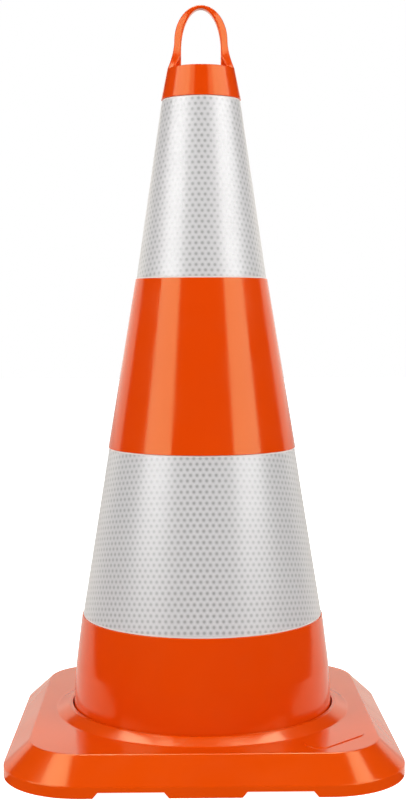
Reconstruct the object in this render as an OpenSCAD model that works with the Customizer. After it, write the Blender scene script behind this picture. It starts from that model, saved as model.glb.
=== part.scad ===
// Traffic cone, 750 mm tall, with a carry loop, two recessed retroreflective sleeves
// and a square base moulding with a bevelled skirt.
// Origin at the centre of the footprint on the ground, +Z up, base sides along X and Y.
// The carry loop stands in the XZ plane and the front is -Y.

/* [Overall] */
// Height from the ground to the top of the carry loop
overall_h = 750; // [748:1:752]
// Wall thickness of the cone moulding
shell_wall = 3.5; // [3:0.1:4]

/* [Base] */
// Side of the square footprint
base_side = 385; // [378:1:392]
// Corner radius of the footprint
base_corner_r = 78; // [72:1:82]
// Height of the upright rim below the bevel
rim_h = 11; // [9:0.5:13]
// Height of the flat top of the base
plateau_h = 33.5; // [32:0.5:35]
// How far the bevel runs in from the rim to the flat top
bevel_run = 25; // [22:1:28]
// Wall thickness of the base moulding
base_wall = 5; // [4:0.5:5.5]
// Height of the collar round the foot of the cone
collar_h = 40; // [39:0.5:41]
// Radius where the collar's sloping side meets the flat top
collar_r = 150.5; // [148:0.5:153]

/* [Feet] */
// Distance from the middle of a side to the near end of a notch, on the ground
notch_near = 33.5; // [30:0.5:36]
// Distance from the middle of a side to the far end of a notch, on the ground
notch_far = 103; // [98:0.5:106]
// Height of the notches between the feet
notch_h = 5.5; // [4:0.5:7]

/* [Cone] */
// Outer radius where the cone meets the base
foot_r = 133; // [132:0.1:134]
// Height at which the foot starts to taper
taper_z = 80; // [70:1:90]
// Outer radius at that height
taper_r = 130.2; // [129.5:0.1:131]
// Outer radius at the top of the neck
neck_top_r = 34.2; // [34:0.1:35]
// Outer radius at the bottom of the neck
neck_low_r = 40.6; // [40.5:0.1:42]
// Height of the top of the neck
neck_z = 686; // [684:0.5:688]
// Radius of the open top of the neck
neck_hole_r = 18.5; // [16:0.5:19]

/* [Sleeves] */
// Lower sleeve, height of its lower edge
lower_z0 = 130.5; // [127:0.5:133]
// Lower sleeve, height of its upper edge
lower_z1 = 302.5; // [299:0.5:305]
// Lower sleeve, outer radius at its lower edge
lower_r0 = 122.9; // [122:0.1:123.5]
// Lower sleeve, outer radius at its upper edge
lower_r1 = 95; // [94:0.1:96]
// Upper sleeve, height of its lower edge
upper_z0 = 474.5; // [471:0.5:477]
// Upper sleeve, height of its upper edge
upper_z1 = 655; // [652:0.5:656]
// Upper sleeve, outer radius at its lower edge
upper_r0 = 66.3; // [66:0.1:67]
// Upper sleeve, outer radius at its upper edge
upper_r1 = 39.6; // [39:0.1:40]
// How far the cone's surface stands proud of the sleeves
sleeve_recess = 1; // [0.8:0.1:1.5]
// Thickness of the plastic carrier under the reflective film
carrier_t = 0.7; // [0.5:0.1:0.9]
// Thickness of the reflective film
film_t = 0.5; // [0.3:0.1:0.6]
// Strip of bare carrier above and below the film
film_margin = 1.6; // [1:0.1:3]
// Angle left open at the butt seam of the film, at the back
seam_angle = 0.6; // [0.4:0.1:1.5]

/* [Carry loop] */
// Radius of the loop's outline at the height where it stops flaring
loop_r = 27; // [26:0.5:28]
// Height of the ellipse centre of the loop's outline
loop_z = 714; // [712:1:718]
// Width of the opening in the loop
loop_gap = 40; // [39:0.5:40]
// Thickness of the loop at its top
loop_top_t = 3.8; // [3.5:0.1:5]
// Thickness of the strap at its roots, outside the webs
loop_root_t = 7.4; // [6.5:0.1:8]
// Depth of the strap from front to back
loop_depth = 12; // [11:0.5:16]
// Depth of the strap where it meets the neck
loop_root_depth = 32; // [28:1:36]
// Depth of the webs inside the roots
web_depth = 6; // [5:0.5:8]

/* [Hidden] */
$fn = 96;

orange = [0.88, 0.27, 0.02];
cut = 1; // overshoot of a cutting solid past the face it opens

// Base, derived
base_half = base_side / 2;
corner_at = base_half - base_corner_r; // centre of each corner's arcs
plateau_half = base_half - bevel_run;
hole_r = foot_r + 1.2; // the hole in the base that the cone stands in
collar_top_r = hole_r + 3.8; // outer edge of the flat top of the collar
under_z = plateau_h - base_wall; // underside of the flat top
rib_low_z = 10;
rib_t = 4;
rib_step = 30;

// Foot of the cone, held between the underside of the flat top and ledges on a ring
foot_z = 19; // lower edge of the cone
upright_z = collar_h - 2; // the wall is upright from here down
bead_reach = 3;
bead_z = 25; // where the bead runs out again
ring_r = foot_r + bead_reach + 0.5; // inside of the ring round the bead
ring_t = 3.5;
ledge_t = 3;
ledge_inset = 1; // the ledges stay this far back from the inside of the cone
ledge_angle = 12;
ledge_count = 8;

// Plain raised pad on the flat top
pad_x = 124;
pad_y = -124;
pad_l = 74;
pad_w = 28;
pad_h = 0.8;

// Sleeves, derived
sleeve_t = carrier_t + film_t;
recess_wall = shell_wall - 0.5; // the wall is thinner behind a recess
step_h = 4; // height of the steps inside the wall

// Carry loop, derived
loop_rise = overall_h - loop_z;
loop_flare_h = loop_z - neck_z;
gap_half = loop_gap / 2;
gap_z = 704; // where the sides of the opening start to curve
gap_rise = overall_h - loop_top_t - gap_z;

// Radius on the straight line from (r0, z0) to (r1, z1)
function on_line(z, r0, z0, r1, z1) = r0 + (r1 - r0) * (z - z0) / (z1 - z0);
// Height on that line at radius r
function line_z(r, r0, z0, r1, z1) = z0 + (z1 - z0) * (r - r0) / (r1 - r0);
// How far below the loop's widest level z is, as a fraction of the flare's height
function flare(z) = max(0, (loop_z - z) / loop_flare_h);
// Outline radius of the loop over its flared roots
function root_r(z) = loop_r + (neck_top_r - loop_r) * pow(flare(z), 1.7);
// Half depth of the strap over its flared roots
function root_depth(z) =
    loop_depth / 2 + (loop_root_depth - loop_depth) / 2 * pow(flare(z), 2);

// ---- base ----

// Slab with straight sides that slope from half width h0 at z0 to h1 at z1.
// Its corners are quarter cones about one upright axis each, so the slope is even all round.
module square_slab(h0, h1, z0, z1) {
    c = corner_at;
    side = [[-h0, z0], [h0, z0], [h1, z1], [-h1, z1]];
    for (turn = [0, 90])
        rotate([0, 0, turn])
            rotate([90, 0, 0])
                linear_extrude(2 * c, center = true)
                    polygon(side);
    for (turn = [0:90:270])
        rotate([0, 0, turn])
            translate([c, c, 0])
                rotate_extrude(angle = 90)
                    polygon([[0, z0], [h0 - c, z0], [h1 - c, z1], [0, z1]]);
}

// Outer form of the base: upright rim, then the bevel up to the flat top, less an inset
module base_form(inset, drop) {
    square_slab(base_half - inset, base_half - inset, -cut * sign(inset), rim_h - drop / 2);
    square_slab(base_half - inset, plateau_half - inset, rim_h - drop / 2, plateau_h - drop);
}

// Collar round the hole: a narrow flat top and a straight sloping side
module collar() {
    rotate_extrude()
        polygon([[hole_r, collar_h - 1], [hole_r, under_z + cut], [collar_r, under_z + cut],
            [collar_r, plateau_h], [collar_top_r, collar_h], [hole_r + 1, collar_h]]);
}

// Ring under the flat top, with ledges that the lower edge of the cone rests on
module foot_seat() {
    low_z = foot_z - ledge_t;
    inner_r = foot_r - shell_wall + ledge_inset;
    rotate_extrude()
        polygon([[ring_r, low_z], [ring_r + ring_t, low_z],
            [ring_r + ring_t, under_z + cut], [ring_r, under_z + cut]]);
    for (i = [0:ledge_count - 1])
        rotate([0, 0, 360 * (i + 0.5) / ledge_count - ledge_angle / 2])
            rotate_extrude(angle = ledge_angle)
                polygon([[inner_r, low_z], [ring_r + cut, low_z],
                    [ring_r + cut, foot_z], [inner_r, foot_z]]);
}

module ribs() {
    intersection() {
        base_form(base_wall / 2, base_wall / 2);
        for (turn = [0:rib_step:359])
            rotate([0, 0, turn])
                translate([ring_r + cut, -rib_t / 2, rib_low_z])
                    cube([base_side, rib_t, plateau_h]);
    }
}

// Two notches on each side leave a foot in the middle and one at each corner
module notches() {
    slope = 4.5;
    for (turn = [0:90:270])
        rotate([0, 0, turn])
            for (way = [-1, 1])
                rotate([90, 0, 0])
                    translate([0, 0, corner_at])
                        linear_extrude(base_side)
                            polygon([[way * (notch_near - slope / notch_h), -1],
                                [way * (notch_far + slope / notch_h), -1],
                                [way * (notch_far - slope), notch_h],
                                [way * (notch_near + slope), notch_h]]);
}

module blank_pad() {
    r = pad_w / 2;
    translate([pad_x, pad_y, plateau_h - cut])
        rotate([0, 0, 45])
            linear_extrude(cut + pad_h)
                union() {
                    square([pad_l - 2 * r, pad_w], center = true);
                    for (way = [-1, 1])
                        translate([way * (pad_l / 2 - r), 0])
                            circle(r);
                }
}

module base() {
    color(orange)
    union() {
        difference() {
            union() {
                base_form(0, 0);
                collar();
                blank_pad();
            }
            base_form(base_wall, base_wall);
            translate([0, 0, -cut])
                cylinder(h = overall_h, r = hole_r);
            notches();
        }
        foot_seat();
        ribs();
    }
}

// ---- cone ----

// Outer side of the cone moulding, from the neck down, with the two recesses
function cone_outside() = [
    [neck_top_r, neck_z],
    [neck_low_r, upper_z1],
    [upper_r1 - sleeve_t, upper_z1],
    [upper_r0 - sleeve_t, upper_z0],
    [upper_r0 + sleeve_recess, upper_z0],
    [lower_r1 + sleeve_recess, lower_z1],
    [lower_r1 - sleeve_t, lower_z1],
    [lower_r0 - sleeve_t, lower_z0],
    [lower_r0 + sleeve_recess, lower_z0],
    [taper_r, taper_z],
    [foot_r, upright_z],
    [foot_r, under_z],
    [foot_r + bead_reach, under_z],
    [foot_r + bead_reach, bead_z],
    [foot_r, bead_z - bead_reach],
    [foot_r, foot_z],
];

// Inner side, from the foot up; it only ever narrows upwards
function cone_inside() =
    let (w = shell_wall)
    let (low_r = lower_r0 + sleeve_recess - w)
    let (mid0 = lower_r1 + sleeve_recess - w)
    let (mid1 = upper_r0 + sleeve_recess - w)
    let (back0 = lower_r1 - sleeve_t - recess_wall)
    let (back1 = upper_r1 - sleeve_t - recess_wall)
    let (plate_z = neck_z - w)
    [
        [foot_r - w, foot_z],
        [foot_r - w, upright_z],
        [taper_r - w, taper_z],
        [on_line(lower_z0 - step_h, low_r, lower_z0, taper_r - w, taper_z), lower_z0 - step_h],
        [lower_r0 - sleeve_t - recess_wall, lower_z0],
        [back0, lower_z1],
        [back0, line_z(back0, mid0, lower_z1, mid1, upper_z0)],
        [on_line(upper_z0 - step_h, mid1, upper_z0, mid0, lower_z1), upper_z0 - step_h],
        [upper_r0 - sleeve_t - recess_wall, upper_z0],
        [back1, upper_z1],
        [back1, line_z(back1, neck_low_r - w, upper_z1, neck_top_r - w, neck_z)],
        [on_line(plate_z, neck_low_r - w, upper_z1, neck_top_r - w, neck_z), plate_z],
        [neck_hole_r, plate_z],
        [neck_hole_r, neck_z],
    ];

module cone_shell() {
    color(orange)
    rotate_extrude()
        polygon(concat(cone_outside(), cone_inside()));
}

// ---- carry loop ----

// The neck's outline carried on upwards and closed over the top, as a turned solid
module loop_dome() {
    steps = 12;
    flared = [for (i = [0:steps])
        let (z = neck_z + loop_flare_h * i / steps)
        [root_r(z), z]];
    domed = [for (i = [1:steps - 1])
        let (a = 90 * i / steps)
        [loop_r * cos(a), loop_z + loop_rise * sin(a)]];
    rotate_extrude()
        polygon(concat([[0, neck_z]], flared, domed, [[0, overall_h]]));
}

// Front-to-back outline of the strap, which widens towards the neck
module strap_side() {
    steps = 8;
    heights = [for (i = [0:steps]) neck_z - cut + (loop_flare_h + cut) * i / steps];
    right = [for (z = heights) [root_depth(z), z]];
    left = [for (i = [0:steps]) [-root_depth(heights[steps - i]), heights[steps - i]]];
    rotate([90, 0, 90])
        linear_extrude(4 * loop_r, center = true)
            polygon(concat(
                right,
                [[loop_depth / 2, overall_h + cut], [-loop_depth / 2, overall_h + cut]],
                left));
}

// The opening: upright sides and an elliptical top
module loop_opening() {
    steps = 24;
    arch = [for (i = [0:steps])
        let (a = 180 * i / steps)
        [gap_half * cos(a), gap_z + gap_rise * sin(a)]];
    rotate([90, 0, 0])
        linear_extrude(4 * loop_r, center = true)
            polygon(concat([[-gap_half, neck_z - cut], [gap_half, neck_z - cut]], arch));
}

// Pockets at the front and back of a root, which leave a thin web beside the opening
module web_pockets() {
    steps = 6;
    edge = [for (i = [0:steps])
        let (z = neck_z - cut + (gap_z - neck_z + cut) * i / steps)
        [max(gap_half, root_r(max(z, neck_z)) - loop_root_t), z]];
    for (turn = [0, 180])
        for (way = [-1, 1])
            rotate([0, 0, turn])
                rotate([90, 0, 0])
                    translate([0, 0, way > 0 ? web_depth / 2 : -web_depth / 2 - loop_root_depth])
                        linear_extrude(loop_root_depth)
                            polygon(concat(
                                [[gap_half - cut, gap_z], [gap_half - cut, neck_z - cut]],
                                edge));
}

module carry_loop() {
    color(orange)
    difference() {
        intersection() {
            loop_dome();
            strap_side();
        }
        loop_opening();
        web_pockets();
    }
}

// ---- sleeves ----

// A tapered band from the height z0, outer radius r0 to z1, r1, with an upright edge of
// thickness t, which may be open at the back by an angle
module band(r0, z0, r1, z1, t, open_angle) {
    rotate([0, 0, 90 + open_angle / 2])
        rotate_extrude(angle = 360 - open_angle)
            polygon([[r0 - t, z0], [r0, z0], [r1, z1], [r1 - t, z1]]);
}

module sleeve_carrier(r0, z0, r1, z1) {
    color([0.93, 0.92, 0.9])
    band(r0 - film_t, z0, r1 - film_t, z1, carrier_t, 0);
}

module sleeve_film(r0, z0, r1, z1) {
    low = z0 + film_margin;
    high = z1 - film_margin;
    color([0.86, 0.87, 0.88])
    band(on_line(low, r0, z0, r1, z1), low, on_line(high, r0, z0, r1, z1), high,
        film_t, seam_angle);
}

module lower_sleeve_carrier() {
    sleeve_carrier(lower_r0, lower_z0, lower_r1, lower_z1);
}

module lower_sleeve_film() {
    sleeve_film(lower_r0, lower_z0, lower_r1, lower_z1);
}

module upper_sleeve_carrier() {
    sleeve_carrier(upper_r0, upper_z0, upper_r1, upper_z1);
}

module upper_sleeve_film() {
    sleeve_film(upper_r0, upper_z0, upper_r1, upper_z1);
}

base();
cone_shell();
carry_loop();
lower_sleeve_carrier();
lower_sleeve_film();
upper_sleeve_carrier();
upper_sleeve_film();
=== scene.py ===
"""Looks of the traffic cone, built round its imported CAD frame. Everything is in metres, in the frame's axes:
+Z up, the origin on the ground under the middle of the base, the front of the cone towards -Y."""

import math

import bmesh
import bpy
from mathutils import Matrix, Vector


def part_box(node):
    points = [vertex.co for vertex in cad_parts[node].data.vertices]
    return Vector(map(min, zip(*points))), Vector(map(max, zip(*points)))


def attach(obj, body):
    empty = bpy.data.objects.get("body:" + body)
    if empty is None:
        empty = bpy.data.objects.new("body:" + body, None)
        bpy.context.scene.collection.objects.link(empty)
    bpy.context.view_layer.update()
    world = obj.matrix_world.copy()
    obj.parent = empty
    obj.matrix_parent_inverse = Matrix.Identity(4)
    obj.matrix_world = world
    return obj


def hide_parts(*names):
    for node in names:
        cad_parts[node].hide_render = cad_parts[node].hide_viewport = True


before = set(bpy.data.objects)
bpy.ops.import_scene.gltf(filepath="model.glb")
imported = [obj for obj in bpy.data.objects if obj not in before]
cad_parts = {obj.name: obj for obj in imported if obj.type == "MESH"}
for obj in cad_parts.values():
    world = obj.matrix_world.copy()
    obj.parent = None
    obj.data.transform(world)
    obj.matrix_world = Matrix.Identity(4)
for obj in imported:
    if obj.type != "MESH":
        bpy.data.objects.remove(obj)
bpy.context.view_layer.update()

MM = 0.001

# ---- sizes that the frame gives ----


def ring_radius(node, height, pick=max):
    """Largest distance from the Z axis of the node's CAD points at a height, or the smallest with pick=min."""
    near = 0.05 * MM
    return pick(
        math.hypot(v.co.x, v.co.y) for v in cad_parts[node].data.vertices if abs(v.co.z - height) < near
    )


base_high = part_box("base")[1]
shell_low, shell_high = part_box("cone_shell")
loop_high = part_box("carry_loop")[1]

BASE_HALF = base_high[0]
COLLAR_Z = base_high[2]
FOOT_Z = shell_low[2]
NECK_Z = shell_high[2]
TOP_Z = loop_high[2]
BEAD_R = shell_high[0]
FOOT_IN_R = ring_radius("cone_shell", FOOT_Z, min)
FOOT_R = ring_radius("cone_shell", FOOT_Z)
NECK_TOP_R = ring_radius("cone_shell", NECK_Z)
NECK_HOLE_R = ring_radius("cone_shell", NECK_Z, min)
WALL = FOOT_R - FOOT_IN_R


class Sleeve:
    """Heights and radii of one sleeve, read from its carrier and film."""

    def __init__(self, name):
        self.carrier = name + "_carrier"
        self.film = name + "_film"
        low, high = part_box(self.carrier)
        self.z0, self.z1 = low[2], high[2]
        self.inner = [ring_radius(self.carrier, z, min) for z in (self.z0, self.z1)]
        self.outer = [ring_radius(self.carrier, z) for z in (self.z0, self.z1)]
        low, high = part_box(self.film)
        self.film_z0, self.film_z1 = low[2], high[2]
        self.film_inner = [ring_radius(self.film, z, min) for z in (self.film_z0, self.film_z1)]
        self.film_outer = [ring_radius(self.film, z) for z in (self.film_z0, self.film_z1)]


lower = Sleeve("lower_sleeve")
upper = Sleeve("upper_sleeve")

# ---- driving sizes of the details ----

BASE_CORNER_R = 78 * MM
RIM_H = 11 * MM
PLATEAU_Z = 33.5 * MM
BEVEL_RUN = 25 * MM
BASE_WALL = 5 * MM
COLLAR_R = 150.5 * MM  # where the collar's slope runs out on the flat top
COLLAR_LAND = 3.8 * MM  # width of the collar's top
HOLE_GAP = 1.2 * MM  # between the cone and the hole it stands in
RING_GAP = 0.5 * MM
RING_T = 3.5 * MM
LEDGE_T = 3 * MM
LEDGE_INSET = 1 * MM
NOTCH_NEAR = 33.5 * MM  # from the middle of a side
NOTCH_FAR = 103 * MM
NOTCH_H = 5.5 * MM
NOTCH_SLOPE = 4.5 * MM
TAPER_Z = 80 * MM  # below this the cone's sides are steeper
TAPER_R = 130.2 * MM
BEAD_REACH = 3 * MM
BEAD_Z = 25 * MM
STEP_H = 4 * MM

LOOP_R = 27 * MM  # half width of the loop's outline above its roots
LOOP_Z = 714 * MM  # where the legs end and the arch begins
GAP_HALF = 20 * MM
GAP_Z = 704 * MM
LOOP_TOP_T = 3.8 * MM
STRAP_T = 7.4 * MM
STRAP_DEPTH = 12 * MM
VISIBLE_ROOT_DEPTH = 22 * MM  # inside the CAD root, which is 32 mm deep
ROOT_FLARE = 1.7  # how late the roots flare on their way down
STRAP_LEAN = math.radians(27)
WEB_DEPTH = 6 * MM

CORNER_AT = BASE_HALF - BASE_CORNER_R
UNDER_Z = PLATEAU_Z - BASE_WALL
HOLE_R = FOOT_R + HOLE_GAP
RING_R = BEAD_R + RING_GAP

ROUND_STEPS = 256  # faces round the cone and its sleeves

# ---- mesh helpers ----


def new_piece(name, mesh, slot=None, *nodes):
    """An object for the mesh.

    Where CAD nodes are given, it rides on the root body and stands for them. The slot is not used."""
    piece = bpy.data.objects.new(name, mesh)
    bpy.context.scene.collection.objects.link(piece)
    if nodes:
        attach(piece, "root")
        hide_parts(*nodes)
    return piece


def mesh_from(name, points, faces):
    """A closed mesh with merged points, faces that look outwards and smooth shading."""
    bm = bmesh.new()
    verts = [bm.verts.new(p) for p in points]
    for face in faces:
        bm.faces.new([verts[i] for i in face])
    bmesh.ops.remove_doubles(bm, verts=bm.verts, dist=0.002 * MM)
    bmesh.ops.dissolve_degenerate(bm, edges=bm.edges, dist=0.001 * MM)
    bmesh.ops.recalc_face_normals(bm, faces=bm.faces)
    if bm.calc_volume(signed=True) < 0:
        bmesh.ops.reverse_faces(bm, faces=bm.faces)
    mesh = bpy.data.meshes.new(name)
    bm.to_mesh(mesh)
    bm.free()
    return soften(mesh)


def soften(mesh):
    """Smooth shading, apart from edges too sharp for it."""
    mesh.shade_smooth()
    mesh.set_sharp_from_angle(angle=math.radians(32))
    return mesh


def rounded_outline(corners, steps=5):
    """Closed outline through corners given as (x, y, radius), with each corner rounded by its radius."""
    outline = []
    for i, (x, y, radius) in enumerate(corners):
        here = Vector((x, y))
        before = Vector(corners[i - 1][:2]) - here
        after = Vector(corners[(i + 1) % len(corners)][:2]) - here
        if radius <= 0:
            outline.append(here)
            continue
        reach = min(radius / math.tan(before.angle(after) / 2), before.length * 0.48, after.length * 0.48)
        start = here + before.normalized() * reach
        end = here + after.normalized() * reach
        for k in range(steps + 1):
            t = k / steps
            outline.append(start * (1 - t) ** 2 + here * 2 * t * (1 - t) + end * t**2)
    return outline


def band(count, first, second):
    """Faces between two closed rows of points, whose first points have the given numbers."""
    return [(first + i, first + (i + 1) % count, second + (i + 1) % count, second + i) for i in range(count)]


def closed_loft(name, sections):
    """Mesh through closed sections of equal point counts, from the last of which it goes back to the first."""
    count = len(sections[0])
    faces = []
    for s in range(len(sections)):
        faces += band(count, s * count, (s + 1) % len(sections) * count)
    return mesh_from(name, [p for section in sections for p in section], faces)


def capped_loft(name, sections):
    """Mesh through closed sections of equal point counts, with a flat face over the first and the last."""
    count = len(sections[0])
    last = (len(sections) - 1) * count
    faces = [tuple(range(count)), tuple(range(last, last + count))]
    for s in range(len(sections) - 1):
        faces += band(count, s * count, (s + 1) * count)
    return mesh_from(name, [p for section in sections for p in section], faces)


def lathe(name, outline):
    """Solid of revolution about Z of a closed outline in (radius, height)."""
    sections = []
    for s in range(ROUND_STEPS):
        turn = 2 * math.pi * s / ROUND_STEPS
        sections.append([(p.x * math.sin(turn), -p.x * math.cos(turn), p.y) for p in outline])
    return closed_loft(name, sections)


def even_shading(piece):
    """Normals follow the large faces, so that the small rounded edges don't darken the walls beside them."""
    shading = piece.modifiers.new("even_shading", "WEIGHTED_NORMAL")
    shading.keep_sharp = True
    shading.weight = 60


def unite(piece, others):
    """Joins the other solids to the piece's mesh as one closed surface, and removes them."""
    for other in others:
        joint = piece.modifiers.new("unite", "BOOLEAN")
        joint.operation = "UNION"
        joint.solver = "MANIFOLD"
        joint.object = other
    depsgraph = bpy.context.evaluated_depsgraph_get()
    mesh = bpy.data.meshes.new_from_object(piece.evaluated_get(depsgraph))
    piece.modifiers.clear()
    piece.data = mesh
    for other in others:
        bpy.data.objects.remove(other)
    soften(mesh)


# ---- cone body and carry loop ----


def on_line(at, a0, b0, a1, b1):
    """Value at a on the straight line from (a0, b0) to (a1, b1)."""
    return b0 + (b1 - b0) * (at - a0) / (a1 - a0)


def cone_outline():
    """Closed outline of the cone moulding, down its outside and up its inside."""
    edge, soft, lip = 1.2 * MM, 2.5 * MM, 0.5 * MM
    neck_low_r = ring_radius("cone_shell", upper.z1)
    mid_top_r = ring_radius("cone_shell", upper.z0)
    mid_low_r = ring_radius("cone_shell", lower.z1)
    low_top_r = ring_radius("cone_shell", lower.z0)
    outside = [
        (NECK_TOP_R, NECK_Z, edge),
        (neck_low_r, upper.z1, lip),
        (upper.inner[1], upper.z1, 0),
        (upper.inner[0], upper.z0, 0),
        (mid_top_r, upper.z0, lip),
        (mid_low_r, lower.z1, lip),
        (lower.inner[1], lower.z1, 0),
        (lower.inner[0], lower.z0, 0),
        (low_top_r, lower.z0, lip),
        (TAPER_R, TAPER_Z, 60 * MM),
        (FOOT_R, COLLAR_Z - 2 * MM, 20 * MM),
        (FOOT_R, UNDER_Z, 0),
        (BEAD_R, UNDER_Z, 0),
        (BEAD_R, BEAD_Z, 0),
        (FOOT_R, BEAD_Z - BEAD_REACH, 0),
        (FOOT_R, FOOT_Z, lip),
    ]
    behind = WALL - 0.5 * MM
    back0 = lower.inner[1] - behind
    back1 = upper.inner[1] - behind
    low_z = lower.z0 - STEP_H
    mid_z = upper.z0 - STEP_H
    plate_z = NECK_Z - WALL
    inside = [
        (FOOT_IN_R, FOOT_Z, lip),
        (FOOT_IN_R, COLLAR_Z - 2 * MM, 20 * MM),
        (TAPER_R - WALL, TAPER_Z, 60 * MM),
        (on_line(low_z, lower.z0, low_top_r, TAPER_Z, TAPER_R) - WALL, low_z, soft),
        (lower.inner[0] - behind, lower.z0, soft),
        (back0, lower.z1, soft),
        (back0, on_line(back0 + WALL, mid_low_r, lower.z1, mid_top_r, upper.z0), soft),
        (on_line(mid_z, upper.z0, mid_top_r, lower.z1, mid_low_r) - WALL, mid_z, soft),
        (upper.inner[0] - behind, upper.z0, soft),
        (back1, upper.z1, soft),
        (back1, on_line(back1 + WALL, neck_low_r, upper.z1, NECK_TOP_R, NECK_Z), soft),
        (on_line(plate_z, upper.z1, neck_low_r, NECK_Z, NECK_TOP_R) - WALL, plate_z, soft),
        (NECK_HOLE_R, plate_z, lip),
        (NECK_HOLE_R, NECK_Z, edge),
    ]
    return rounded_outline(outside + inside)


def flare(z):
    """How far down a leg of the loop z is, from 0 where the arch begins to 1 at the neck."""
    return min(1.0, max(0.0, (LOOP_Z - z) / (LOOP_Z - NECK_Z)))


def leg_x(z):
    """Half width of the loop's outline at a height on its legs, which flare to meet the neck."""
    return LOOP_R + (NECK_TOP_R - LOOP_R) * flare(z) ** ROOT_FLARE


def loop_section(outer, inner, thick, height):
    """Closed section of the loop between a point (x, z) of its outline and one of its opening.

    The strap, of the given thickness across, is deepest at its inner side and leans back towards the outline.
    Inside it, a thin web fills the root up to the opening."""
    radius = leg_x(outer.y)
    depth = (STRAP_DEPTH + (VISIBLE_ROOT_DEPTH - STRAP_DEPTH) * flare(outer.y) ** 2) / 2
    width = (inner - outer).length
    strap = min(width, STRAP_T * width / max(outer.x - inner.x, MM))
    blend = 2.5 * MM  # fillet round the foot of the root
    up = min(max((height - NECK_Z) / blend, 0.0), 1.0)
    foot = blend * (1 - math.sqrt(1 - (1 - up) ** 2))
    web = min(WEB_DEPTH / 2 + foot, depth)
    edge = min(1.8 * MM, 0.45 * strap)
    web_edge = min(1.5 * MM, max(width - strap, 0))
    lean = math.tan(STRAP_LEAN) * thick * (1 - 2 * edge / strap)
    tilt = math.atan2(lean, strap - 2 * edge)
    shoulder = depth - edge - lean
    web_top = max(depth - edge, web)
    half = []  # (distance from the outline, distance from the loop's middle plane)
    steps = 5
    for k in range(steps):
        half.append((0, shoulder * k / steps))
    for k in range(steps + 1):
        a = (math.pi / 2 - tilt) * k / steps
        half.append((edge * (1 - math.cos(a)), shoulder + edge * math.sin(a)))
    for k in range(steps + 1):
        a = tilt - (tilt + math.pi / 2) * k / steps
        half.append((strap - edge - edge * math.sin(a), depth - edge + edge * math.cos(a)))
    web_steps = 3
    for k in range(1, web_steps + 1):
        a = math.pi / 2 * k / web_steps
        half.append((strap + web_edge / 2 * (1 - math.cos(a)), web_top + (web - web_top) * math.sin(a)))
    for k in range(web_steps + 1):
        a = math.pi / 2 * k / web_steps
        half.append((width - web_edge + web_edge * math.sin(a), web - web_edge * (1 - math.cos(a))))
    half.append((width, 0))
    section = []
    along = (inner - outer) / width
    mirrored = [(p, -y) for p, y in reversed(half[1:-1])]
    for p, y in half + mirrored:
        crown = radius - math.sqrt(radius**2 - y**2)
        p = p + crown * max(0.0, 1 - p / strap)
        place = outer + along * p
        section.append((place.x, y, place.y))
    return section


def carry_loop_mesh():
    """The loop as a loft from inside the neck up one leg, over the arch and down the other leg."""
    gap_rise = TOP_Z - LOOP_TOP_T - GAP_Z
    embed = 1.5 * MM
    stations = []
    legs = 24
    for k in range(legs):
        t = (k / legs) ** 1.6
        outer_z = NECK_Z - embed + (LOOP_Z - NECK_Z + embed) * t
        inner_z = NECK_Z - embed + (GAP_Z - NECK_Z + embed) * t
        x = leg_x(outer_z)
        stations.append((Vector((x, outer_z)), Vector((GAP_HALF, inner_z)), min(STRAP_T, x - GAP_HALF)))
    arch = 28
    for k in range(arch + 1):
        a = math.pi / 2 * k / arch
        stations.append(
            (
                Vector((LOOP_R * math.cos(a), LOOP_Z + (TOP_Z - LOOP_Z) * math.sin(a))),
                Vector((GAP_HALF * math.cos(a), GAP_Z + gap_rise * math.sin(a))),
                LOOP_TOP_T + (LOOP_R - GAP_HALF - LOOP_TOP_T) * math.cos(a) ** 0.7,
            )
        )
    right = [loop_section(o, i, thick, min(o.y, i.y)) for o, i, thick in stations]
    left = [[(-x, y, z) for x, y, z in section] for section in reversed(right[:-1])]
    return capped_loft("carry_loop", right + left)


# ---- base ----


def side_stations():
    """Distances along one straight side, closer together at the ends of the notches."""
    ends = [NOTCH_NEAR, NOTCH_NEAR + NOTCH_SLOPE, NOTCH_FAR - NOTCH_SLOPE, NOTCH_FAR]
    marks = sorted([-e for e in ends] + [0.0] + ends)
    marks = [-CORNER_AT] + marks + [CORNER_AT]
    stations = []
    longest = 9 * MM
    for a, b in zip(marks, marks[1:]):
        parts = max(1, math.ceil((b - a) / longest))
        stations += [a + (b - a) * k / parts for k in range(parts)]
    return stations


def notch_height(s):
    """Height of the rim's lower edge at a distance s from the middle of a side."""
    at = abs(s)
    rise = min((at - NOTCH_NEAR) / NOTCH_SLOPE, (NOTCH_FAR - at) / NOTCH_SLOPE, 1.0)
    return NOTCH_H * max(rise, 0.0)


def perimeter():
    """Stations round the base: (turn in quarter turns, side distance or None, corner angle or None)."""
    arc_steps = 20
    stations = []
    for quarter in range(4):
        stations += [(quarter, s, None) for s in side_stations()]
        stations += [(quarter, None, math.pi / 2 * k / arc_steps) for k in range(arc_steps)]
    return stations


def turned(x, y, quarter):
    """The point turned about the origin by a number of quarter turns."""
    for _ in range(quarter):
        x, y = -y, x
    return x, y


def square_level(inset, z, follow_notch=False):
    """Rounded square, inset from the footprint's outline, with its corners about the same centres."""
    level = []
    for quarter, s, angle in perimeter():
        if angle is None:
            x, y = s, -(BASE_HALF - inset)
            lift = notch_height(s) if follow_notch else 0.0
        else:
            r = BASE_CORNER_R - inset
            x, y = CORNER_AT + r * math.sin(angle), -CORNER_AT - r * math.cos(angle)
            lift = 0.0
        x, y = turned(x, y, quarter)
        level.append((x, y, z + lift))
    return level


def round_level(radius, z):
    """Circle whose points lie on the same rays as those of the flat top's edge."""
    level = []
    for x, y, _ in square_level(BEVEL_RUN, z):
        far = math.hypot(x, y)
        level.append((x / far * radius, y / far * radius, z))
    return level


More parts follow.
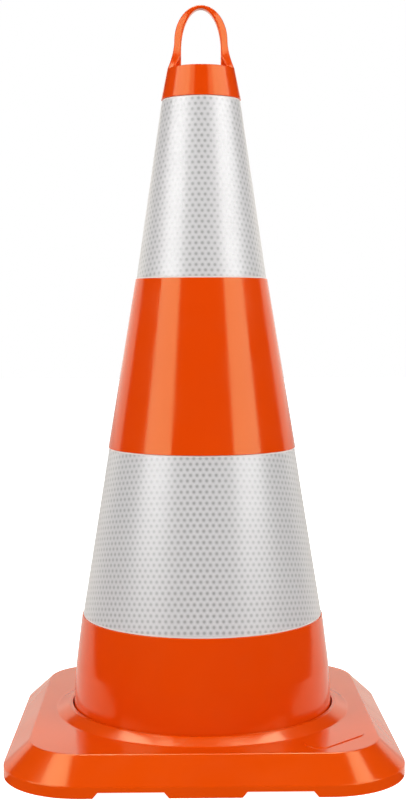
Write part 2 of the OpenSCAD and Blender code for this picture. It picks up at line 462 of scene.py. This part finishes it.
def base_mesh():
    """The base as one closed loft: up its outside, down the hole, round the ring and back along its inside.

    The outlines are in (inset from the footprint, height), or (radius, height) for the collar. Their first and
    last points only give the direction of the ends, and are dropped."""
    edge = 0.5 * MM
    outer = rounded_outline(
        [(0, -1, 0), (0, RIM_H, 2.2 * MM), (BEVEL_RUN, PLATEAU_Z, 3.0 * MM), (1, PLATEAU_Z, 0)], 6
    )[1:-1]
    inner = rounded_outline(
        [
            (1, UNDER_Z, 0),
            (BEVEL_RUN + BASE_WALL, UNDER_Z, 3 * MM),
            (BASE_WALL, RIM_H - BASE_WALL / 2, 2 * MM),
            (BASE_WALL, -1, 0),
        ],
        4,
    )[1:-1]
    collar = rounded_outline(
        [
            (1, PLATEAU_Z, 0),
            (COLLAR_R, PLATEAU_Z, 6 * MM),
            (HOLE_R + COLLAR_LAND, COLLAR_Z, 2.5 * MM),
            (HOLE_R, COLLAR_Z, 0.7 * MM),
            (HOLE_R, 0, 0),
        ],
        6,
    )[1:-1]
    low = [(0.0, edge), (edge * 0.3, edge * 0.3), (edge, 0.0), (BASE_WALL - edge, 0.0), (BASE_WALL, edge)]
    levels = [square_level(inset, z, True) for inset, z in reversed(low)]
    levels += [square_level(p.x, p.y) for p in outer]
    levels += [round_level(p.x, p.y) for p in collar]
    ring_low = FOOT_Z - LEDGE_T
    levels += [
        round_level(HOLE_R, UNDER_Z),
        round_level(RING_R, UNDER_Z),
        round_level(RING_R, ring_low),
        round_level(RING_R + RING_T, ring_low),
        round_level(RING_R + RING_T, UNDER_Z),
    ]
    levels += [square_level(p.x, p.y) for p in inner]
    return closed_loft("base", levels)


def polar(radius, angle):
    """Point (x, y) at a radius and an angle from the X axis."""
    return radius * math.cos(angle), radius * math.sin(angle)


def ribs():
    """Twelve upright ribs under the flat top, from the ring to the middle of the skirt's wall."""
    made = []
    half_t = 2 * MM
    low_z = 10 * MM
    start = RING_R + RING_T / 2
    top_in = BEVEL_RUN + BASE_WALL / 2
    for k in range(12):
        turn = math.radians(30 * k)
        along = Vector(polar(1, turn))
        across = Vector((-along.y, along.x))
        far = corner_reach(turn)
        outline = [
            (start, low_z),
            (far - BASE_WALL / 2, low_z),
            (far - BASE_WALL / 2, RIM_H - BASE_WALL / 4),
            (far - top_in, UNDER_Z + BASE_WALL / 2),
            (start, UNDER_Z + BASE_WALL / 2),
        ]
        sections = []
        for way in (-half_t, half_t):
            spots = [(along * r + across * way, z) for r, z in outline]
            sections.append([(spot.x, spot.y, z) for spot, z in spots])
        made.append(new_piece("rib", capped_loft("rib", sections)))
    return made


def corner_reach(turn):
    """Distance from the axis to the footprint's outline along a direction, with its rounded corners."""
    c, s = abs(math.cos(turn)), abs(math.sin(turn))
    straight = BASE_HALF / max(c, s)
    if min(c, s) * straight <= CORNER_AT:
        return straight
    dot = CORNER_AT * (c + s)
    return dot + math.sqrt(dot**2 - 2 * CORNER_AT**2 + BASE_CORNER_R**2)


def ledges():
    """Eight short ledges on the ring, which the lower edge of the cone rests on."""
    made = []
    spread = math.radians(6)
    steps = 6
    for k in range(8):
        middle = math.radians(45 * (k + 0.5))
        angles = [middle - spread + 2 * spread * i / steps for i in range(steps + 1)]
        outline = [polar(FOOT_IN_R + LEDGE_INSET, a) for a in angles]
        outline += [polar(RING_R + RING_T / 2, a) for a in reversed(angles)]
        sections = [[(x, y, z) for x, y in outline] for z in (FOOT_Z - LEDGE_T, FOOT_Z)]
        made.append(new_piece("ledge", capped_loft("ledge", sections)))
    return made


def blank_pad():
    """Plain raised pad with round ends on the front right corner of the flat top."""
    length, width, height = 74 * MM, 28 * MM, 0.8 * MM
    centre = Vector((124 * MM, -124 * MM))
    along = Vector((1, 1)).normalized()
    across = Vector((-along.y, along.x))
    steps = 16
    levels = [(0.0, -1 * MM), (0.0, height * 0.45), (0.25 * MM, height * 0.85), (0.7 * MM, height)]
    sections = []
    for inset, z in levels:
        r = width / 2 - inset
        section = []
        for end, start in ((1, -math.pi / 2), (-1, math.pi / 2)):
            for k in range(steps + 1):
                a = start + math.pi * k / steps
                forward = end * (length - width) / 2 + r * math.cos(a)
                spot = centre + along * forward + across * r * math.sin(a)
                section.append((spot.x, spot.y, PLATEAU_Z + z))
        sections.append(section)
    return new_piece("pad", capped_loft("pad", sections))


# ---- sleeves ----


def carrier_mesh(sleeve):
    """The sleeve's thin plastic ring, which fills its recess in the cone."""
    lip = 0.25 * MM
    return lathe(
        sleeve.carrier,
        rounded_outline(
            [
                (sleeve.inner[0], sleeve.z0, 0),
                (sleeve.outer[0], sleeve.z0, lip),
                (sleeve.outer[1], sleeve.z1, lip),
                (sleeve.inner[1], sleeve.z1, 0),
            ],
            3,
        ),
    )


def film_mesh(sleeve):
    """The film as a thin sheet bent round the cone, open at its butt seam at the back.

    Its UVs are the sheet laid flat, in metres, so that the cells keep their true size and shape."""
    seam = math.radians(0.6)
    slope = (sleeve.film_outer[0] - sleeve.film_outer[1]) / (sleeve.film_z1 - sleeve.film_z0)
    tilt = math.atan(slope)
    apex = sleeve.film_z1 + sleeve.film_outer[1] / slope
    rows = 6
    bm = bmesh.new()
    uv = bm.loops.layers.uv.new("flat_sheet")
    flat = {}
    outer, inner = [], []
    for s in range(ROUND_STEPS + 1):
        turn = -math.pi + seam / 2 + (2 * math.pi - seam) * s / ROUND_STEPS
        around = (math.sin(turn), -math.cos(turn))
        for store, radii in ((outer, sleeve.film_outer), (inner, sleeve.film_inner)):
            column = []
            for k in range(rows + 1):
                t = k / rows
                z = sleeve.film_z0 + (sleeve.film_z1 - sleeve.film_z0) * t
                r = radii[0] + (radii[1] - radii[0]) * t
                vert = bm.verts.new((around[0] * r, around[1] * r, z))
                slant = (apex - z) / math.cos(tilt)
                swing = turn * math.sin(tilt)
                flat[vert] = (slant * math.sin(swing), -slant * math.cos(swing))
                column.append(vert)
            store.append(column)
    for s in range(ROUND_STEPS):
        for k in range(rows):
            bm.faces.new((outer[s][k], outer[s + 1][k], outer[s + 1][k + 1], outer[s][k + 1]))
            bm.faces.new((inner[s][k], inner[s][k + 1], inner[s + 1][k + 1], inner[s + 1][k]))
        bm.faces.new((outer[s][0], inner[s][0], inner[s + 1][0], outer[s + 1][0]))
        bm.faces.new((outer[s][rows], outer[s + 1][rows], inner[s + 1][rows], inner[s][rows]))
    for k in range(rows):
        bm.faces.new((outer[0][k], outer[0][k + 1], inner[0][k + 1], inner[0][k]))
        bm.faces.new((outer[-1][k], inner[-1][k], inner[-1][k + 1], outer[-1][k + 1]))
    for face in bm.faces:
        for corner in face.loops:
            corner[uv].uv = flat[corner.vert]
    bmesh.ops.recalc_face_normals(bm, faces=bm.faces)
    mesh = bpy.data.meshes.new(sleeve.film)
    bm.to_mesh(mesh)
    bm.free()
    return soften(mesh)


# ---- materials ----


def linear(*display):
    """Opaque linear colour from red, green and blue display values of 0 to 255."""
    levels = [c / 255 for c in display]
    return (*(((c + 0.055) / 1.055) ** 2.4 if c > 0.04045 else c / 12.92 for c in levels), 1.0)


class Nodes:
    """Short calls for building one material's node tree."""

    def __init__(self, name):
        self.material = bpy.data.materials.new(name)
        self.material.use_nodes = True
        self.tree = self.material.node_tree
        self.shader = self.tree.nodes["Principled BSDF"]

    def add(self, kind, inputs=(), **settings):
        """A new node with its inputs and settings."""
        node = self.tree.nodes.new(kind)
        for key, value in settings.items():
            setattr(node, key, value)
        for key, value in dict(inputs).items():
            self.feed(value, node.inputs[key])
        return node

    def feed(self, value, socket):
        """Links a node's output to the socket, or sets the socket's own value."""
        if isinstance(value, bpy.types.NodeSocket):
            self.tree.links.new(value, socket)
        elif isinstance(value, bpy.types.Node):
            self.tree.links.new(value.outputs[0], socket)
        else:
            socket.default_value = value

    def set(self, **inputs):
        """Feeds inputs of the material's shader, named with _ for a space."""
        for key, value in inputs.items():
            self.feed(value, self.shader.inputs[key.replace("_", " ")])

    def noise(self, vector, scale, detail=2.0, roughness=0.5):
        made = self.add(
            "ShaderNodeTexNoise", {"Vector": vector, "Scale": scale, "Detail": detail, "Roughness": roughness}
        )
        return made.outputs["Fac"]

    def fit(self, value, low, high, to_low, to_high, smooth=False):
        """Maps value from low..high to to_low..to_high, clamped."""
        return self.add(
            "ShaderNodeMapRange",
            {"Value": value, "From Min": low, "From Max": high, "To Min": to_low, "To Max": to_high},
            interpolation_type="SMOOTHSTEP" if smooth else "LINEAR",
        ).outputs[0]

    def math(self, operation, a, b=0.0):
        return self.add("ShaderNodeMath", {0: a, 1: b}, operation=operation).outputs[0]

    def mix(self, factor, a, b):
        made = self.add("ShaderNodeMix", data_type="RGBA")
        self.feed(factor, made.inputs["Factor"])
        self.feed(a, made.inputs[6])
        self.feed(b, made.inputs[7])
        return made.outputs[2]

    def bump(self, height, distance, strength=1.0, normal=None):
        made = self.add("ShaderNodeBump", {"Height": height, "Distance": distance, "Strength": strength})
        if normal is not None:
            self.feed(normal, made.inputs["Normal"])
        return made.outputs["Normal"]


def moulded_plastic(name, colour, deeper):
    """Glossy moulded plastic, with clouds in its tone, smears in its gloss and the fine ripple of its skin."""
    n = Nodes(name)
    place = n.add("ShaderNodeTexCoord").outputs["Object"]
    cloud = n.fit(n.noise(place, 9.0, 3.0), 0.35, 0.65, 0.0, 1.0)
    smear = n.noise(place, 26.0, 4.0, 0.6)
    ripple = n.noise(place, 420.0, 2.0)
    wave = n.noise(place, 16.0, 1.0)
    skin = n.bump(ripple, 0.02 * MM, 0.35, n.bump(wave, 0.25 * MM, 0.25))
    n.set(
        Base_Color=n.mix(cloud, linear(*colour), linear(*deeper)),
        Roughness=n.fit(smear, 0.3, 0.7, 0.1, 0.2),
        Normal=skin,
        IOR=1.5,
        Specular_Tint=(1.0, 0.95, 0.4, 1.0),
    )
    return n.material


def carrier_plastic():
    """Satin off-white plastic of the sleeves' carriers."""
    n = Nodes("sleeve_carrier")
    place = n.add("ShaderNodeTexCoord").outputs["Object"]
    cloud = n.noise(place, 40.0, 3.0)
    grain = n.noise(place, 900.0, 2.0)
    n.set(
        Base_Color=n.mix(cloud, linear(243, 240, 234), linear(234, 231, 226)),
        Roughness=n.fit(cloud, 0.3, 0.7, 0.35, 0.5),
        Normal=n.bump(grain, 0.03 * MM, 0.4),
    )
    return n.material


def reflective_film():
    """White film over sealed honeycomb cells, each with a glossier middle whose darker colour is a painted
    reflection of the dark room that the cells send back.

    The cells lie on the flat sheet of the film's UVs. Their middles are the points of two grids of rectangles,
    one pitch wide and math.sqrt(3) pitches tall, with the second grid half a rectangle off the first."""
    pitch = 6.2 * MM
    tall = math.sqrt(3)
    n = Nodes("reflective_film")
    flat = n.add("ShaderNodeUVMap", uv_map="flat_sheet").outputs[0]
    to_cells = (1 / pitch, 1 / pitch, 0)
    cells = n.add("ShaderNodeVectorMath", {0: flat, 1: to_cells}, operation="MULTIPLY").outputs[0]
    nearest = None  # distance from the nearest middle of a cell, in pitches
    for shift in ((0, 0, 0), (0.5, tall / 2, 0)):
        moved = n.add("ShaderNodeVectorMath", {0: cells, 1: shift}, operation="ADD").outputs[0]
        wrapped = n.add(
            "ShaderNodeVectorMath",
            {0: moved, 1: (0.5, tall / 2, 1.0), 2: (-0.5, -tall / 2, -1.0)},
            operation="WRAP",
        ).outputs[0]
        away = n.add("ShaderNodeVectorMath", {0: wrapped}, operation="LENGTH").outputs["Value"]
        nearest = away if nearest is None else n.math("MINIMUM", nearest, away)
    middle = n.fit(nearest, 0.13, 0.33, 1.0, 0.0, smooth=True)
    corners = n.fit(nearest, 0.4, 0.57, 0.0, 0.5, smooth=True)
    place = n.add("ShaderNodeTexCoord").outputs["Object"]
    cloud = n.noise(place, 30.0, 3.0)
    ground = n.mix(cloud, linear(214, 212, 212), linear(208, 206, 206))
    ground = n.mix(corners, ground, linear(230, 229, 229))
    # The cells' middles are painted darker: a painted reflection of the dark room that the film sends back. The
    # cell pattern itself is the film's own.
    painted_dark_middle = n.mix(cloud, linear(172, 172, 170), linear(164, 164, 162))
    n.set(
        Base_Color=n.mix(middle, ground, painted_dark_middle),
        Roughness=n.fit(cloud, 0.3, 0.7, 0.34, 0.4),
        Coat_Weight=n.fit(middle, 0.0, 1.0, 0.25, 0.95),
        Normal=n.bump(n.fit(nearest, 0.3, 0.5, 0.0, 1.0, smooth=True), 0.12 * MM, 0.12),
        IOR=1.62,
        Coat_IOR=2.1,
        Coat_Roughness=0.3,
    )
    return n.material


# ---- stage ----

NEUTRAL = (1.0, 1.0, 1.0)
WARM = (1.0, 0.94, 0.84)  # tint of the light behind the cone
TOP_PANEL_Z = 4.0
WATTS_PER_M2 = 4.0  # of a panel whose radiance is 1


def ground_sheet(name, outline):
    """A flat object on the ground inside an outline of (x, y) points."""
    mesh = bpy.data.meshes.new(name)
    mesh.from_pydata([(x, y, 0) for x, y in outline], [], [tuple(range(len(outline)))])
    sheet = bpy.data.objects.new(name, mesh)
    bpy.context.scene.collection.objects.link(sheet)
    return sheet


def pale_floor():
    """Floor for the camera's eye alone. The floor glows give the cone the light that comes off it."""
    reach = 8.0
    floor = ground_sheet("floor", [(-reach, -reach), (reach, -reach), (reach, reach), (-reach, reach)])
    n = Nodes("floor")
    place = n.add("ShaderNodeTexCoord").outputs["Object"]
    n.set(
        Base_Color=n.mix(n.noise(place, 3.0), (0.82, 0.82, 0.82, 1), (0.8, 0.8, 0.8, 1)),
        Roughness=0.9,
        Emission_Color=(1, 1, 1, 1),
        Emission_Strength=1.0,
    )
    floor.data.materials.append(n.material)
    floor.visible_diffuse = False
    floor.visible_glossy = False


def floor_glow(name, outline, radiance, depth, gloss):
    """A part of the floor that lights the cone, warm and only in its gloss or neutral and only as soft light."""
    glow = ground_sheet(name, outline)
    glow.location.z = -depth
    n = Nodes(name)
    n.set(
        Base_Color=(0, 0, 0, 1),
        Specular_IOR_Level=0.0,
        Emission_Color=(*(WARM if gloss else NEUTRAL), 1.0),
        Emission_Strength=radiance,
    )
    glow.data.materials.append(n.material)
    glow.visible_camera = False
    glow.visible_diffuse = not gloss
    glow.visible_glossy = gloss


def area_light(name, width, height, radiance, tint, felt):
    """A rectangular light that the camera doesn't see. Unless it is felt, it only shows in the cone's gloss."""
    light = bpy.data.lights.new(name, "AREA")
    light.shape = "RECTANGLE"
    light.size = width
    light.size_y = height
    light.energy = WATTS_PER_M2 * radiance * width * height
    light.color = tint
    lamp = bpy.data.objects.new(name, light)
    lamp.visible_camera = False
    lamp.visible_diffuse = felt
    bpy.context.scene.collection.objects.link(lamp)
    return lamp


def soft_panel(name, start, end, low, high, radiance, tint=NEUTRAL, felt=True):
    """An upright light over the ground line from start to end, from height low to high, facing the cone."""
    start, end = Vector((*start, low)), Vector((*end, low))
    along = (end - start) / 2
    inwards = Vector((-along.y, along.x, 0)).normalized()
    if inwards.dot(start + end) > 0:
        inwards = -inwards
    up = Vector((0, 0, high - low)) / 2
    lamp = area_light(name, 2 * along.length, 2 * up.length, radiance, tint, felt)
    x, y = along.normalized(), up.normalized()
    z = x.cross(y)
    if z.dot(inwards) > 0:
        x, z = -x, -z
    lamp.matrix_world = Matrix.Translation(start + along + up) @ Matrix((x, y, z)).transposed().to_4x4()


def top_panel(name, x, y, width, depth, radiance):
    """A level light high over the cone, which only shows in its gloss."""
    area_light(name, width, depth, radiance, NEUTRAL, False).location = (x, y, TOP_PANEL_Z)


def studio():
    """Two upright panels beside the camera, wider at their tops, level panels overhead, a low wall of light
    behind the cone, the light that comes off the floor, and an even room."""
    for side, name in ((-1, "left_panel"), (1, "right_panel")):
        soft_panel(name, (side * 1.25, -1.6), (side * 1.9, -0.55), 0.42, 2.2, 3.2)
        soft_panel(name + "_inner_top", (side * 0.8, -1.87), (side * 1.25, -1.6), 1.5, 2.3, 1.7, felt=False)
        soft_panel(name + "_outer_top", (side * 1.9, -0.55), (side * 1.97, 0.1), 1.1, 2.3, 3.0, felt=False)
    top_panel("front_top_left", -2.1, -0.45, 1.8, 1.3, 4.0)
    top_panel("front_top_right", 2.72, 0.0, 1.3, 1.3, 3.4)
    top_panel("overhead", 0.0, 0.5, 2.6, 1.1, 7.0)
    top_panel("rear_top_left", -0.98, 1.85, 1.72, 1.7, 4.6)
    top_panel("rear_top_right", 0.98, 1.85, 1.72, 1.7, 4.6)
    soft_panel("back_panel", (-4.2, 2.4), (4.2, 2.4), 0.34, 1.3, 0.88, WARM)
    soft_panel("back_panel_low", (-4.2, 2.4), (4.2, 2.4), 0.0, 0.34, 0.55, WARM)
    rear = [(-0.44, -0.13), (0.44, -0.13), (0.9, 0.36), (2.9, 2.4), (-2.9, 2.4), (-0.9, 0.36)]
    floor_glow("rear_floor", rear, 0.85, 1 * MM, True)
    disc = [polar(0.7, 2 * math.pi * k / 32) for k in range(32)]
    floor_glow("near_floor", disc, 0.68, 2 * MM, False)

    world = bpy.data.worlds.new("room")
    world.use_nodes = True
    tree = world.node_tree
    rays = tree.nodes.new("ShaderNodeLightPath").outputs
    background = tree.nodes["Background"]
    strength = 0.02  # as the cone's gloss sees the room, before the other kinds of ray
    for kind, amount in (("Is Diffuse Ray", 0.395), ("Is Camera Ray", 1.0)):
        mix = tree.nodes.new("ShaderNodeMix")
        mix.data_type = "FLOAT"
        if isinstance(strength, float):
            mix.inputs[2].default_value = strength
        else:
            tree.links.new(strength, mix.inputs[2])
        mix.inputs[3].default_value = amount
        tree.links.new(rays[kind], mix.inputs[0])
        strength = mix.outputs[0]
    tree.links.new(strength, background.inputs["Strength"])
    background.inputs["Color"].default_value = (1, 1, 1, 1)
    bpy.context.scene.world = world


def camera():
    """A little above the middle of the cone, looking slightly down, and a little to the left of the front."""
    distance, height = 1.455, 0.440
    turn = math.radians(-0.86)
    aim = math.radians(-0.05)
    tilt = math.radians(3.52)
    roll = math.radians(-0.14)
    lens = bpy.data.cameras.new("camera")
    lens.sensor_width = 36.0
    lens.lens = 63.81
    eye = bpy.data.objects.new("camera", lens)
    eye.location = (distance * math.sin(turn), -distance * math.cos(turn), height)
    looking = Matrix.Rotation(turn + aim, 4, "Z") @ Matrix.Rotation(math.pi / 2 - tilt, 4, "X")
    eye.matrix_world = Matrix.Translation(eye.location) @ looking @ Matrix.Rotation(roll, 4, "Z")
    bpy.context.scene.collection.objects.link(eye)
    bpy.context.scene.camera = eye


# ---- build ----

camera()
pale_floor()
studio()
bpy.context.scene.view_settings.view_transform = "Standard"

cone_plastic = moulded_plastic("cone_plastic", (232, 70, 2), (229, 67, 1))
# The base's plastic is the cone's orange made a shade lighter: painted light, standing in for the extra light
# that comes off the floor onto the base.
base_plastic = moulded_plastic("base_plastic", (236, 77, 2), (233, 74, 1))

cone = new_piece("cone_body", lathe("cone_body", cone_outline()), "cone_plastic", "cone_shell", "carry_loop")
unite(cone, [new_piece("loop_part", carry_loop_mesh())])
cone.data.materials.clear()
cone.data.materials.append(cone_plastic)
even_shading(cone)

base = new_piece("base_moulding", base_mesh(), "base_plastic", "base")
unite(base, [blank_pad()] + ribs() + ledges())
base.data.materials.clear()
base.data.materials.append(base_plastic)
even_shading(base)

carrier_finish = carrier_plastic()
film_finish = reflective_film()
for sleeve in (lower, upper):
    carrier = new_piece(sleeve.carrier + "_sheet", carrier_mesh(sleeve), "sleeve_carrier", sleeve.carrier)
    carrier.data.materials.append(carrier_finish)
    film = new_piece(sleeve.film + "_sheet", film_mesh(sleeve), "reflective_film", sleeve.film)
    film.data.materials.append(film_finish)
